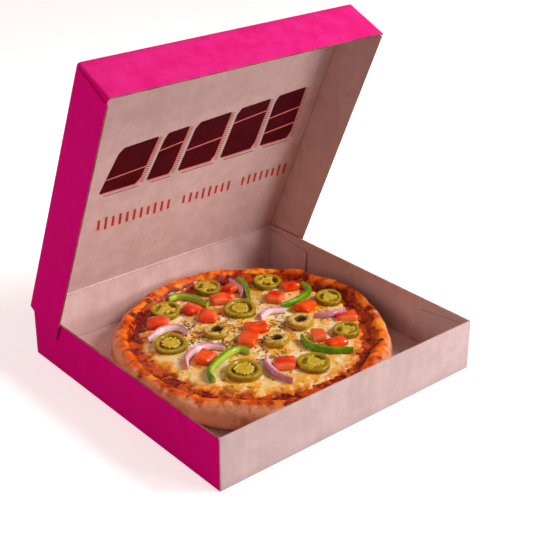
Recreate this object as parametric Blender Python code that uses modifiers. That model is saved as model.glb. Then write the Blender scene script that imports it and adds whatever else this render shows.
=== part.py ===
"""A pizza in its open paperboard box. Metres, +Z up, front wall towards -Y, origin on the table under
the middle of the tray. The lid's origin lies on its hinge, the top edge of the tray's rear wall."""

import math
import random

import bmesh
import bpy
from mathutils import Matrix, Vector

MM = 0.001
TAU = math.tau

# Driving dimensions
TRAY_WIDTH = 0.248
TRAY_DEPTH = 0.240
TRAY_HEIGHT = 0.042
BOARD = 0.0015
GAP = 0.0003

LID_OPEN_DEG = 66.5
LID_SIDE_GAP = 0.0005
LID_FLAP_DEPTH = 0.040
LID_CORNER_SLIT = 0.0045

CORNER_FLAP_LENGTH = 0.050
CORNER_FLAP_DROP = 0.004
CORNER_FLAP_TAPER = 0.006

PIZZA_CENTRE = (0.005, 0.002)
PIZZA_ACROSS = 0.111
PIZZA_ALONG = 0.115
LONG_AXIS_DEG = -130.0
CRUST_STEPS = 72
RIM_TOP = 0.0262
PLATE_TOP = 0.0176
SAUCE_THICKNESS = 0.0008
CHEESE_THICKNESS = 0.0018
CHEESE_BUMP = 0.0005

PLATE_EDGE = 0.85
SAUCE_EDGE = 0.838
CHEESE_EDGE = 0.80

HERB_COUNT = 34
HERB_SIZE = 0.0011
HERB_HEIGHT = 0.0024

# Heights that follow from those
PIZZA_BASE = BOARD + GAP
SAUCE_BASE = PLATE_TOP + GAP
CHEESE_BASE = SAUCE_BASE + SAUCE_THICKNESS + GAP
CHEESE_TOP = CHEESE_BASE + CHEESE_THICKNESS
TOPPING_BASE = CHEESE_TOP + CHEESE_BUMP + GAP
LID_LENGTH = TRAY_DEPTH + LID_SIDE_GAP + BOARD
LID_WIDTH = TRAY_WIDTH + 2 * (LID_SIDE_GAP + BOARD)


for leftover in list(bpy.data.objects):
    bpy.data.objects.remove(leftover)

parts = bpy.data.collections.new("Pizza in its box")
bpy.context.scene.collection.children.link(parts)
cutters = bpy.data.collections.new("Cutters")
bpy.context.scene.collection.children.link(cutters)


def material(name, colour, roughness):
    """A plain Principled material."""
    made = bpy.data.materials.new(name)
    made.use_nodes = True
    shader = made.node_tree.nodes["Principled BSDF"]
    shader.inputs["Base Color"].default_value = (*colour, 1.0)
    shader.inputs["Roughness"].default_value = roughness
    return made


def add(name, mesh, finish=None, collection=parts):
    """Links a mesh as a named object."""
    made = bpy.data.objects.new(name, mesh)
    if finish:
        mesh.materials.clear()
        mesh.materials.append(finish)
    collection.objects.link(made)
    return made


def evaluated_mesh(source):
    """The mesh of an object with its modifiers applied; the object itself is removed."""
    bpy.context.view_layer.update()
    graph = bpy.context.evaluated_depsgraph_get()
    mesh = bpy.data.meshes.new_from_object(source.evaluated_get(graph))
    bpy.data.objects.remove(source)
    return mesh


def welded(mesh):
    """Joins the points that coincide and turns the faces outwards."""
    work = bmesh.new()
    work.from_mesh(mesh)
    bmesh.ops.remove_doubles(work, verts=work.verts, dist=1e-6)
    bmesh.ops.recalc_face_normals(work, faces=work.faces)
    work.to_mesh(mesh)
    work.free()
    return mesh


def box_mesh(low, high, bevel=0.0):
    """A box between two corners, with its edges bevelled where a width is given."""
    work = bmesh.new()
    bmesh.ops.create_cube(work, size=1.0)
    low, high = Vector(low), Vector(high)
    for vert in work.verts:
        vert.co = (low + high) / 2 + Vector(c * s for c, s in zip(vert.co, high - low))
    if bevel:
        bmesh.ops.bevel(work, geom=work.edges[:], offset=bevel, segments=1, affect="EDGES")
    mesh = bpy.data.meshes.new("box")
    work.to_mesh(mesh)
    work.free()
    return mesh


def boolean(target, operation, *others):
    """Adds or removes other objects, which stay as hidden guides."""
    for other in others:
        other.hide_render = True
        other.display_type = "WIRE"
        step = target.modifiers.new(operation.title(), "BOOLEAN")
        step.operation = operation
        step.object = other


def cutter(name, low, high):
    """A box for a Boolean."""
    return add(name, box_mesh(low, high), collection=cutters)


def turned(profile, steps):
    """A closed round of a profile that runs from the axis over the top, down the outside and back."""
    mesh = bpy.data.meshes.new("profile")
    edges = [(i, i + 1) for i in range(len(profile) - 1)]
    mesh.from_pydata([(r, 0, z) for r, z in profile], edges, [])
    holder = add("profile", mesh, collection=cutters)
    screw = holder.modifiers.new("Turn", "SCREW")
    screw.steps = screw.render_steps = steps
    screw.use_merge_vertices = True
    screw.merge_threshold = 1e-6
    return welded(evaluated_mesh(holder))


def reshaped(mesh, rule):
    """Moves each point of a mesh by a rule."""
    for vert in mesh.vertices:
        vert.co = rule(vert.co.copy())
    return mesh


def waves(angle, *terms):
    """Sum of sines round the pizza, each (height, count, phase)."""
    return sum(height * math.sin(count * angle + phase) for height, count, phase in terms)


def make_tray():
    """The tray: floor, four walls, and four corner flaps folded against the side walls, from one blank."""
    half_w, half_d = TRAY_WIDTH / 2, TRAY_DEPTH / 2
    tray = add("tray", box_mesh((-half_w, -half_d, 0), (half_w, half_d, TRAY_HEIGHT)),
               material("board", (0.62, 0.47, 0.46), 0.8))
    inside = cutter("tray_inside", (BOARD - half_w, BOARD - half_d, BOARD),
                    (half_w - BOARD, half_d - BOARD, TRAY_HEIGHT + BOARD))
    boolean(tray, "DIFFERENCE", inside)
    root = 0.2 * MM
    for side in (-1, 1):
        for end in (-1, 1):
            wall_x, wall_y = side * (half_w - BOARD), end * (half_d - BOARD)
            flap_x = (wall_x + side * root, wall_x - side * BOARD)
            flap_y = (wall_y + end * root, wall_y - end * CORNER_FLAP_LENGTH)
            low = (min(flap_x), min(flap_y), BOARD + GAP)
            high = (max(flap_x), max(flap_y), TRAY_HEIGHT - CORNER_FLAP_DROP)
            flap = cutter(f"corner_flap_{side}_{end}", low, high)
            for vert in flap.data.vertices:
                if vert.co.z > TRAY_HEIGHT / 2 and abs(vert.co.y - flap_y[1]) < root:
                    vert.co.z -= CORNER_FLAP_TAPER
            boolean(tray, "UNION", flap)
    return tray


def make_lid():
    """The lid: panel, front flap and two side flaps, which close outside the tray's walls."""
    start = GAP + 0.0001
    half_w = LID_WIDTH / 2
    top = GAP + BOARD
    lid = add("lid", box_mesh((-half_w, -LID_LENGTH, top - LID_FLAP_DEPTH), (half_w, -start, top)),
              material("printed board", (0.68, 0.0, 0.11), 0.5))
    inside = cutter("lid_inside", (BOARD - half_w, BOARD - LID_LENGTH, top - 2 * LID_FLAP_DEPTH),
                    (half_w - BOARD, BOARD, top - BOARD))
    boolean(lid, "DIFFERENCE", inside)
    for side in (-1, 1):
        outer, inner = side * (half_w + BOARD), side * (half_w - 2 * BOARD)
        slit = cutter(f"lid_slit_{side}", (min(outer, inner), BOARD - LID_LENGTH, top - 2 * LID_FLAP_DEPTH),
                      (max(outer, inner), BOARD - LID_LENGTH + 2 * LID_CORNER_SLIT, top - BOARD))
        for vert in slit.data.vertices:
            if vert.co.z > top - LID_FLAP_DEPTH and vert.co.y > BOARD - LID_LENGTH + LID_CORNER_SLIT:
                vert.co.y = BOARD - LID_LENGTH + LID_SIDE_GAP
        boolean(lid, "DIFFERENCE", slit)
    for guide in cutters.objects:
        if guide.name.startswith("lid"):
            guide.parent = lid
    lid.location = (0, TRAY_DEPTH / 2, TRAY_HEIGHT)
    lid.rotation_euler = (-math.radians(LID_OPEN_DEG), 0, 0)
    return lid


# The pizza: dough with a puffed rim, a thin round of sauce, and cheese up to an uneven edge

def pizza_edge(angle):
    """Distance from the pizza's centre to its outer edge: an oval, pulled out of round by hand."""
    turn = angle - math.radians(LONG_AXIS_DEG)
    oval = PIZZA_ALONG * PIZZA_ACROSS / math.hypot(PIZZA_ACROSS * math.cos(turn), PIZZA_ALONG * math.sin(turn))
    return oval * (1 + waves(angle, (0.008, 3, 0.8), (0.005, 7, 2.1), (0.003, 13, 0.3)))


def on_pizza(share, angle, z):
    """The point at a share of the way from the pizza's centre to its edge."""
    reach = share * pizza_edge(angle)
    return Vector((PIZZA_CENTRE[0] + reach * math.cos(angle), PIZZA_CENTRE[1] + reach * math.sin(angle), z))


def make_crust():
    profile = [(0, PLATE_TOP), (PLATE_EDGE, PLATE_TOP), (0.868, 0.0215), (0.892, 0.0250), (0.925, RIM_TOP),
               (0.962, 0.0243), (0.990, 0.0195), (1.0, 0.0140), (0.990, 0.0085), (0.960, 0.0040),
               (0.915, PIZZA_BASE), (0, PIZZA_BASE)]

    def rule(point):
        share, angle = math.hypot(point.x, point.y), math.atan2(point.y, point.x)
        z = point.z
        if share > PLATE_EDGE + 0.01 and z > PIZZA_BASE + MM:
            puff = waves(angle, (0.0009, 5, 0.4), (0.0006, 11, 1.9), (0.0004, 19, 4.0))
            z += puff * (z - PIZZA_BASE) / (RIM_TOP - PIZZA_BASE)
        return on_pizza(share, angle, z)

    return add("crust", reshaped(turned(profile, CRUST_STEPS), rule), material("baked dough", (0.72, 0.38, 0.14), 0.7))


def make_sauce():
    top = SAUCE_BASE + SAUCE_THICKNESS
    profile = [(0, top), (1, top), (1, SAUCE_BASE), (0, SAUCE_BASE)]

    def rule(point):
        share, angle = math.hypot(point.x, point.y), math.atan2(point.y, point.x)
        return on_pizza(share * (SAUCE_EDGE + waves(angle, (0.005, 11, 1.0))), angle, point.z)

    return add("sauce", reshaped(turned(profile, CRUST_STEPS), rule), material("tomato sauce", (0.32, 0.03, 0.01), 0.4))


def cheese_share(angle):
    """How far the melted cheese reaches, as a share of the way to the edge."""
    return CHEESE_EDGE + waves(angle, (0.014, 5, 1.0), (0.010, 9, 0.4), (0.007, 17, 2.5))


def cheese_bump(x, y):
    """Low swells of the melted cheese, between 0 and 1."""
    return 0.5 + 0.25 * math.sin(x / 0.011 + 1.3) + 0.25 * math.sin(y / 0.013 - x / 0.031)


def make_cheese():
    top, middle = CHEESE_TOP, CHEESE_BASE + 0.6 * CHEESE_THICKNESS
    profile = [(0, top), (0.3, top), (0.55, top), (0.8, top), (0.95, top), (1, middle), (0.985, CHEESE_BASE),
               (0, CHEESE_BASE)]

    def rule(point):
        share, angle = math.hypot(point.x, point.y), math.atan2(point.y, point.x)
        placed = on_pizza(share * cheese_share(angle), angle, point.z)
        if abs(point.z - top) < 1e-6:
            placed.z += CHEESE_BUMP * (2 * cheese_bump(placed.x, placed.y) - 1)
        return placed

    return add("cheese", reshaped(turned(profile, CRUST_STEPS), rule), material("melted cheese", (0.86, 0.62, 0.30), 0.45))


# Toppings, each (x, y) in millimetres from the tray's middle


def topping(name, mesh, finish, x, y, turn_deg=0.0, lift=0.0, tilt_deg=0.0):
    """Stands a mesh, whose underside is at z 0, on the cheese."""
    made = add(name, mesh, finish)
    made.location = (x * MM, y * MM, TOPPING_BASE + lift * MM)
    made.rotation_euler = (math.radians(tilt_deg), 0, math.radians(turn_deg))
    mesh.shade_smooth()
    mesh.set_sharp_from_angle(angle=math.radians(40))
    return made


# x, y, diameter, turn, number of seed chambers
JALAPENOS = [(-29, 74.2, 25.5, 10, 3), (-57, 27, 27, 75, 3), (21.8, 84, 23.5, 130, 3), (20, 37, 27, 40, 3),
             (68.2, 59.8, 24.5, 95, 3), (89, 5, 23, 20, 3), (62.7, -44.5, 22, 150, 3), (-38, -40, 28, 60, 3),
             (8.5, -65.4, 26, 15, 3)]
JALAPENO_THICKNESS = 5.2


def make_jalapeno(number, x, y, diameter, turn, chambers):
    radius, half = diameter / 2 * MM, JALAPENO_THICKNESS / 2 * MM
    chamfer = 0.8 * MM
    profile = [(0, half), (radius - chamfer, half), (radius, half - chamfer), (radius, chamfer - half),
               (radius - chamfer, -half), (0, -half)]

    def lobed(point):
        angle = math.atan2(point.y, point.x)
        swell = 1 + 0.03 * math.cos(chambers * angle) + 0.015 * math.sin(2 * angle + number)
        return Vector((point.x * swell, point.y * swell, point.z + half))

    slice_mesh = reshaped(turned(profile, 16), lobed)
    work = bmesh.new()
    for i in range(chambers):
        angle = TAU * i / chambers
        place = Matrix.Rotation(angle, 4, "Z") @ Matrix.Translation((0.47 * radius, 0, half))
        shape = Matrix.Diagonal((0.17 * radius, 0.30 * radius, 1, 1))
        bmesh.ops.create_cone(work, cap_ends=True, segments=6, radius1=1, radius2=1, depth=4 * half,
                              matrix=place @ shape)
    hole_mesh = bpy.data.meshes.new("chambers")
    work.to_mesh(hole_mesh)
    work.free()
    body = add("slice", slice_mesh, collection=cutters)
    holes = add("chambers", hole_mesh, collection=cutters)
    boolean(body, "DIFFERENCE", holes)
    mesh = welded(evaluated_mesh(body))
    bpy.data.objects.remove(holes)
    topping(f"jalapeno_{number}", mesh, jalapeno_flesh, x, y, turn)


# x, y, diameter
OLIVES = [(44, -11, 22.5), (10, -21, 20.5), (-18, 20, 20.5)]
OLIVE_TUBE = 0.14


def make_olive(number, x, y, diameter):
    tube = OLIVE_TUBE * diameter * MM
    bpy.ops.mesh.primitive_torus_add(major_segments=16, minor_segments=6, major_radius=diameter / 2 * MM - tube,
                                     minor_radius=tube)
    ring = bpy.context.object
    mesh = ring.data
    bpy.data.objects.remove(ring)
    mesh.transform(Matrix.Translation((0, 0, tube)))
    topping(f"olive_{number}", mesh, olive_flesh, x, y, 25 * number)


# x, y, length, width, height, turn
RED_PEPPERS = [(-10.2, 62.8, 14, 12, 6, 20), (-46.3, 61, 18, 13, 6, -35), (-7, 45, 17, 14, 5.5, 50),
               (35.4, 70.6, 11.4, 9.5, 6.5, 10), (18.7, 61, 18, 12.5, 6, -20), (56, 34, 16, 13, 6, 35),
               (79, 41.5, 14.5, 11, 6, -10), (65, 6, 17, 14, 6, 15), (11, 5, 18, 14, 5, -25),
               (-7, -6, 18, 14, 6, 40), (79, -27.7, 17, 10, 5, -30), (40, -37, 13.5, 11, 6.5, 60),
               (44, -53.7, 17, 10, 5.5, -15), (-49, -7, 16, 13, 6.5, 25), (-8.8, -51.1, 16, 14, 6, -40)]


def make_red_pepper(number, x, y, length, width, height, turn):
    half = Vector((length, width, height)) * MM / 2
    mesh = box_mesh((-half.x, -half.y, 0), (half.x, half.y, 2 * half.z), bevel=1.2 * MM)
    skew = random.Random(number)
    lean_x, lean_y, pinch = (skew.uniform(-0.2, 0.2), skew.uniform(-0.2, 0.2), skew.uniform(-0.12, 0.12))

    def rule(point):
        narrow = 1 + pinch * point.x / half.x
        return Vector((point.x + lean_x * point.z, point.y * narrow + lean_y * point.z, point.z))

    topping(f"red_pepper_{number}", reshaped(mesh, rule), red_flesh, x, y, turn)


def smooth_path(points, count):
    """Evenly counted points of a smooth curve through the given ones."""
    ends = [points[0] * 2 - points[1], *points, points[-1] * 2 - points[-2]]
    path = []
    for i in range(count):
        t = i / (count - 1) * (len(points) - 1)
        k = min(int(t), len(points) - 2)
        t -= k
        a, b, c, d = ends[k:k + 4]
        path.append(0.5 * (2 * b + (c - a) * t + (2 * a - 5 * b + 4 * c - d) * t**2 + (3 * b - a - 3 * c + d) * t**3))
    return path


def strip_mesh(points, width, height, count=13):
    """A curved strip on edge along a path of (x, y) or (x, y, lift), in millimetres, thinner at both ends."""
    path = smooth_path([Vector((*point, 0)[:3]) * MM for point in points], count)
    curve = bpy.data.curves.new("strip", "CURVE")
    curve.dimensions = "3D"
    curve.twist_mode = "Z_UP"
    curve.bevel_depth = width / 2 * MM
    curve.extrude = (height - width) / 2 * MM
    curve.bevel_resolution = 0
    curve.use_fill_caps = True
    spline = curve.splines.new("POLY")
    spline.points.add(count - 1)
    for i, (point, place) in enumerate(zip(spline.points, path)):
        point.co = (*(place + Vector((0, 0, height / 2 * MM))), 1)
        point.radius = 0.55 + 0.45 * math.sin(math.pi * min(1, 0.12 + 0.88 * i / (count - 1)))
    holder = bpy.data.objects.new("strip", curve)
    cutters.objects.link(holder)
    return welded(evaluated_mesh(holder))


GREEN_PEPPERS = [[(-15, 89), (-6, 88), (1, 78), (4, 60)], [(53, 81), (50, 68), (37, 46)],
                 [(89, 38), (85, 25), (66, 19), (50, 20)], [(29, -30), (25, -43), (31, -58), (46, -70)],
                 [(-64, -36), (-58, -24), (-36, -14), (-22, -13), (-17, -21)]]
GREEN_WIDTH = 5.0
GREEN_HEIGHT = 6.0
ONIONS = [[(-67, 44), (-50, 50), (-38, 45), (-36, 33)], [(46.8, 84.8), (44.8, 74.8), (42.8, 64.8), (36.8, 55.8)],
          [(24, 15), (36, 19), (48, 12)], [(60, -9), (72, -17), (86, -18)],
          [(-68, -9), (-60, 2), (-46, 8), (-36, 5), (-29, -4)], [(-11, -34), (-19, -45), (-22, -60), (-19, -74)]]
ONION_WIDTH = 3.8
ONION_HEIGHT = 5.6


def footprint_clear(x, y, clear):
    """True where a herb flake at (x, y) touches no topping."""
    for cx, cy, diameter, *_ in [*JALAPENOS, *OLIVES]:
        if math.hypot(x - cx, y - cy) < diameter / 2 + clear:
            return False
    for cx, cy, length, width, *_ in RED_PEPPERS:
        if math.hypot(x - cx, y - cy) < math.hypot(length, width) / 2 + clear:
            return False
    for points in [*GREEN_PEPPERS, *ONIONS]:
        for place in smooth_path([Vector((*point, 0)[:3]) for point in points], 25):
            if math.hypot(x - place.x, y - place.y) < GREEN_WIDTH / 2 + clear:
                return False
    return True


HERB_PATCHES = [(-27, 46, 9), (-18, 8, 9), (20, 14, 8), (-6, -22, 8), (8, -40, 9), (0, 20, 75)]


def add_herbs(cheese):
    """Fuses dried herb flakes to the cheese, dense in a few patches and sparse elsewhere."""
    draw = random.Random(7)
    flakes = bpy.data.collections.new("Herb flakes")
    cutters.children.link(flakes)
    while len(flakes.objects) < HERB_COUNT:
        cx, cy, spread = HERB_PATCHES[len(flakes.objects) % len(HERB_PATCHES)]
        angle, reach = draw.uniform(0, TAU), spread * math.sqrt(draw.random())
        x, y = cx + reach * math.cos(angle), cy + reach * math.sin(angle)
        size, turn, stretch = draw.uniform(0.8, 1.3) * HERB_SIZE, draw.uniform(0, TAU), draw.uniform(1.2, 2.0)
        if not footprint_clear(x, y, 2.4):
            continue
        work = bmesh.new()
        place = Matrix.Translation((x * MM, y * MM, CHEESE_TOP)) @ Matrix.Rotation(turn, 4, "Z")
        shape = Matrix.Diagonal((size * stretch, size, 1, 1))
        bmesh.ops.create_cone(work, cap_ends=True, segments=5, radius1=1, radius2=0.7, depth=HERB_HEIGHT,
                              matrix=place @ shape)
        mesh = bpy.data.meshes.new("flake")
        work.to_mesh(mesh)
        work.free()
        add("flake", mesh, collection=flakes)
    join = cheese.modifiers.new("Herbs", "BOOLEAN")
    join.operation = "UNION"
    join.operand_type = "COLLECTION"
    join.collection = flakes
    finish = cheese.data.materials[0]
    mesh = welded(evaluated_mesh(cheese))
    for flake in list(flakes.objects):
        bpy.data.objects.remove(flake)
    return add("cheese", mesh, finish)


jalapeno_flesh = material("jalapeno", (0.36, 0.30, 0.03), 0.35)
olive_flesh = material("olive", (0.55, 0.42, 0.15), 0.35)
red_flesh = material("red pepper", (0.75, 0.08, 0.01), 0.35)
green_flesh = material("green pepper", (0.17, 0.35, 0.02), 0.35)
onion_flesh = material("red onion", (0.66, 0.34, 0.42), 0.35)

make_tray()
make_lid()
make_crust()
make_sauce()
add_herbs(make_cheese())
for index, values in enumerate(JALAPENOS, 1):
    make_jalapeno(index, *values)
for index, values in enumerate(OLIVES, 1):
    make_olive(index, *values)
for index, values in enumerate(RED_PEPPERS, 1):
    make_red_pepper(index, *values)
for index, values in enumerate(GREEN_PEPPERS, 1):
    topping(f"green_pepper_{index}", strip_mesh(values, GREEN_WIDTH, GREEN_HEIGHT), green_flesh, 0, 0)
for index, values in enumerate(ONIONS, 1):
    topping(f"onion_{index}", strip_mesh(values, ONION_WIDTH, ONION_HEIGHT), onion_flesh, 0, 0)
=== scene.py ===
import math
import random

import bmesh
import bpy
from mathutils import Matrix, Vector, noise


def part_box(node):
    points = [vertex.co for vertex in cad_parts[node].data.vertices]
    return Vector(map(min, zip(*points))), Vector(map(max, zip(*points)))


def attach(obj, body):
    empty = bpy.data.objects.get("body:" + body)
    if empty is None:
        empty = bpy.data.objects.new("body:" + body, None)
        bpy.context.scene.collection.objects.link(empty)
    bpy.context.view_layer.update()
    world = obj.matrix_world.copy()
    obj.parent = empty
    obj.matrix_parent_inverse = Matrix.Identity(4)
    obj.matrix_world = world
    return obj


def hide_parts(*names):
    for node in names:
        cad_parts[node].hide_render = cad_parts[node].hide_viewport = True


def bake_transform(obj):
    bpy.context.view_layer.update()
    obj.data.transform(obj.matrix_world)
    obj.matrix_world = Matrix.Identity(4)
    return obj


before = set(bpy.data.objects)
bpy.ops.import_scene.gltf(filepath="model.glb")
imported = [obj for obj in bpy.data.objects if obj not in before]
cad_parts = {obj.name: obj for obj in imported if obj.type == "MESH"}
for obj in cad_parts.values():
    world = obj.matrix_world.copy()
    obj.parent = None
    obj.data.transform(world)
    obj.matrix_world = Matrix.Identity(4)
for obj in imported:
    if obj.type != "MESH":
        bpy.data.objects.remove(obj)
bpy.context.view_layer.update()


# Tray
# The lower half of the box: a floor and four walls folded up from one blank of 1.5 mm board, plain
# inside, printed magenta outside except on the front wall, with a small flap glued in each corner.

MM = 0.001
BOARD, FLAP_BOARD = 1.5 * MM, 1.2 * MM
TRAY_FOLD, TRAY_CORNER, WALL_BOW = 0.9 * MM, 1.1 * MM, 0.25 * MM
INNER_CORNER, EDGE_ROUNDING, CREASE_DEPTH = 0.4 * MM, 0.1 * MM, 0.35 * MM
FLAP_LENGTH, FLAP_TOP, FLAP_FREE_TOP, FLAP_FOOT, FLAP_LEAN = 50 * MM, 38 * MM, 32 * MM, 1.7 * MM, 0.006
half_width, half_depth, tray_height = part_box("tray")[1]


def srgb(*colour):
    """A colour read from 0 to 255, as a shader takes it."""
    shares = [c / 255 for c in colour]
    return (*(s / 12.92 if s < 0.0404 else ((s + 0.055) / 1.055) ** 2.4 for s in shares), 1.0)


def node(tree, kind, wires=None, **settings):
    """A node with its settings made, and its inputs wired to a field or a socket or given a value."""
    made = tree.nodes.new(kind)
    for key, value in settings.items():
        setattr(made, key, value)
    for label, value in (wires or {}).items():
        value = value.socket if isinstance(value, Field) else value
        if isinstance(value, bpy.types.NodeSocket):
            tree.links.new(value, made.inputs[label])
        else:
            made.inputs[label].default_value = value
    return made


class Field:
    """A value that changes over a surface. Sums and products of fields add the nodes that work them out."""

    def __init__(self, tree, socket):
        self.tree, self.socket = tree, socket

    def made(self, kind, wires=None, output=0, **settings):
        return Field(self.tree, node(self.tree, kind, wires, **settings).outputs[output])

    def maths(self, way, first, second):
        return self.made("ShaderNodeMath", {0: first, 1: second}, operation=way)

    def __add__(self, other):
        return self.maths("ADD", self, other)

    def __sub__(self, other):
        return self.maths("SUBTRACT", self, other)

    def __rsub__(self, other):
        return self.maths("SUBTRACT", other, self)

    def __mul__(self, other):
        return self.maths("MULTIPLY", self, other)

    def slope(self, low, high):
        """0 below low, 1 above high, and a smooth slope between."""
        wires = {"Value": self, "From Min": low, "From Max": high}
        return self.made("ShaderNodeMapRange", wires, interpolation_type="SMOOTHSTEP")

    def mix(self, first, second):
        """The first colour where the field is 0, and the second where it is 1."""
        first, second = (srgb(*c) if isinstance(c, tuple) else c for c in (first, second))
        return self.made("ShaderNodeMix", {0: self, 6: first, 7: second}, 2, data_type="RGBA")

    def stretched(self, *scales):
        """These places, scaled along x, y and z."""
        return self.made("ShaderNodeVectorMath", {0: self, 1: scales}, operation="MULTIPLY")

    def speckle(self, scale, detail=3.0, rough=0.5, bend=0.0):
        """Noise at these places, from 0 to 1."""
        wires = {"Vector": self, "Scale": scale, "Detail": detail, "Roughness": rough, "Distortion": bend}
        return self.made("ShaderNodeTexNoise", wires, "Fac")

    def stored(self, name):
        """The number that a mesh stores for each point under a name."""
        return self.made("ShaderNodeAttribute", output="Fac", attribute_name=name)

    def through(self, group, **values):
        """What a group gives at these places, by the names of its outputs."""
        wires = {"Where": self, **{label.replace("_", " "): value for label, value in values.items()}}
        made = node(self.tree, "ShaderNodeGroup", wires, node_tree=bpy.data.node_groups[group])
        return {socket.name: Field(self.tree, socket) for socket in made.outputs}

    def to(self, socket):
        self.tree.links.new(self.socket, socket)

    def to_relief(self, shader, depth):
        """Feeds the field to the shader's normal as a height, with its depth in metres."""
        self.made("ShaderNodeBump", {"Height": self, "Distance": depth}, "Normal").to(shader["Normal"])


def new_group(name, inputs, outputs):
    """A shader group; gives its inputs as fields, the place on the surface first, and its output sockets."""
    tree = bpy.data.node_groups.new(name, "ShaderNodeTree")
    tree.interface.new_socket(name="Where", in_out="INPUT", socket_type="NodeSocketVector")
    for label, value in inputs.items():
        tree.interface.new_socket(name=label, in_out="INPUT", socket_type="NodeSocketFloat").default_value = value
    for label in outputs:
        tree.interface.new_socket(name=label, in_out="OUTPUT", socket_type="NodeSocketFloat")
    given = node(tree, "NodeGroupInput").outputs
    return [Field(tree, given[label]) for label in ("Where", *inputs)], node(tree, "NodeGroupOutput").inputs


def new_finish(name, rough, coat=0.0, coat_rough=0.15, shine=0.14):
    """A Principled material; gives it, its shader's inputs and the place on the surface."""
    made = bpy.data.materials.new(name)
    made.use_nodes = True
    shader = made.node_tree.nodes["Principled BSDF"].inputs
    shader["Roughness"].default_value = rough
    shader["Specular IOR Level"].default_value = shine
    shader["Coat Weight"].default_value = coat
    shader["Coat Roughness"].default_value = coat_rough
    return made, shader, Field(made.node_tree, node(made.node_tree, "ShaderNodeTexCoord").outputs["Object"])


# Board fibre: a cloudy tone with faint upright streaks, and the fine felted height of pressed fibre.
(where, cloud_scale, fibre_scale), out = new_group(
    "board_fibre", {"Cloud Scale": 70.0, "Fibre Scale": 1500.0}, ["Tone", "Height"])
felt = where.stretched(1.0, 0.35, 1.0).speckle(fibre_scale, 3.0, 0.65)
upright = where.stretched(1.0, 1.0, 0.05).speckle(420.0, 2.0)
(where.speckle(cloud_scale, 4.0, 0.6) * 0.60 + (upright * 0.20 + felt * 0.20)).to(out["Tone"])
felt.to(out["Height"])


def board_finish(name, dark, light, rough, shine=0.2, depth=0.04 * MM):
    """Board or printed paper: two near tones, clouded by the fibre, and the fibre's fine height."""
    made, shader, where = new_finish(name, rough, shine=shine)
    felted = where.through("board_fibre")
    felted["Tone"].slope(0.32, 0.68).mix(dark, light).to(shader["Base Color"])
    felted["Height"].to_relief(shader, depth)
    return made


INSIDE, PRINTED, FRONT, EDGE, PALE_PRINT, WORN = range(6)
BOX_FINISHES = [
    board_finish("inside_board", (205, 175, 172), (221, 193, 190), 0.8),
    board_finish("magenta_print", (234, 0, 130), (242, 2, 138), 0.6, 0.03, 0.02 * MM),
    board_finish("front_board", (198, 173, 171), (214, 190, 188), 0.75),
    board_finish("cut_edge", (176, 122, 108), (212, 164, 150), 0.85, 0.1, 0.08 * MM),
    # A paler, greyer copy of the magenta print: painted sheen, for the lid's front flap.
    board_finish("pale_print", (224, 24, 122), (234, 44, 142), 0.55, 0.06, 0.02 * MM),
    board_finish("worn_edge", (112, 58, 48), (166, 108, 92), 0.85, 0.05, 0.08 * MM)]


def polar(reach, angle, z=0.0):
    """The point at a distance and an angle from the middle, at a height."""
    return Vector((reach * math.cos(angle), reach * math.sin(angle), z))


def square_loop(half_x, half_y, radius, z, arc=6, side=16):
    """Points round a square with rounded corners, anticlockwise from above."""
    corners = []
    for quarter, (sx, sy) in enumerate([(1, 1), (-1, 1), (-1, -1), (1, -1)]):
        centre = Vector((sx * (half_x - radius), sy * (half_y - radius), z))
        angles = [math.radians(90 * (quarter + i / arc)) for i in range(arc + 1)]
        corners.append([centre + radius * polar(1, angle) for angle in angles])
    points = []
    for corner, following in zip(corners, corners[1:] + corners[:1]):
        points += corner + [corner[-1].lerp(following[0], i / side) for i in range(1, side)]
    return points


def band(work, first, second):
    """Joins two closed rings of points with a band of faces."""
    corners = zip(first, first[1:] + first[:1], second[1:] + second[:1], second)
    return [work.faces.new(four) for four in corners]


def open_box(half_x, half_y, height, fold, corner, bow=0.0):
    """An open box of board: rounded folds with a pressed crease inside, cut edges at its rim."""
    outer = [(fold, 0), (0.29 * fold, 0.29 * fold), (0, fold)]
    outer += [(0, fold + (height - fold) * i / 6) for i in range(1, 6)]
    outer += [(0, height - EDGE_ROUNDING), (EDGE_ROUNDING, height)]
    inner = [(BOARD - EDGE_ROUNDING, height), (BOARD, height - EDGE_ROUNDING)]
    inner += [(BOARD, BOARD + (height - BOARD) * i / 6) for i in range(5, 0, -1)]
    inner += [(BOARD, BOARD + 0.3 * MM), (BOARD + 0.1 * MM, BOARD - CREASE_DEPTH),
              (BOARD + 0.9 * MM, BOARD - CREASE_DEPTH), (BOARD + 1.1 * MM, BOARD)]
    stations = [(*station, corner) for station in outer] + [(*station, INNER_CORNER) for station in inner]
    work = bmesh.new()
    rows = []
    for inset, z, radius in stations:
        lean = bow * (z / height) ** 2
        rows.append([])
        for point in square_loop(half_x - inset, half_y - inset, radius, z):
            along_x = max(0.0, 1 - (point.x / half_x) ** 2) if abs(point.y) > half_y - 3 * BOARD else 0.0
            along_y = max(0.0, 1 - (point.y / half_y) ** 2) if abs(point.x) > half_x - 3 * BOARD else 0.0
            point.y -= math.copysign(lean * along_x, point.y)
            point.x -= math.copysign(lean * along_y, point.x)
            rows[-1].append(work.verts.new(point))
    for lower, upper in zip(rows, rows[1:]):
        band(work, lower, upper)
    work.faces.new(rows[0][::-1])
    work.faces.new(rows[-1])
    return work


def board_sheet(work, outline, thickness, place):
    """A flat piece of cut board on a closed outline, anticlockwise, added to a mesh under work."""
    low, high = ([work.verts.new(place @ Vector((*point, z))) for point in outline] for z in (0, thickness))
    work.faces.new(low[::-1])
    work.faces.new(high)
    band(work, low, high)


def arced(start, corner, end, t):
    """A point on the arc from start to end that bends towards a corner."""
    return start * (1 - t) ** 2 + corner * 2 * t * (1 - t) + end * t * t


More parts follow.
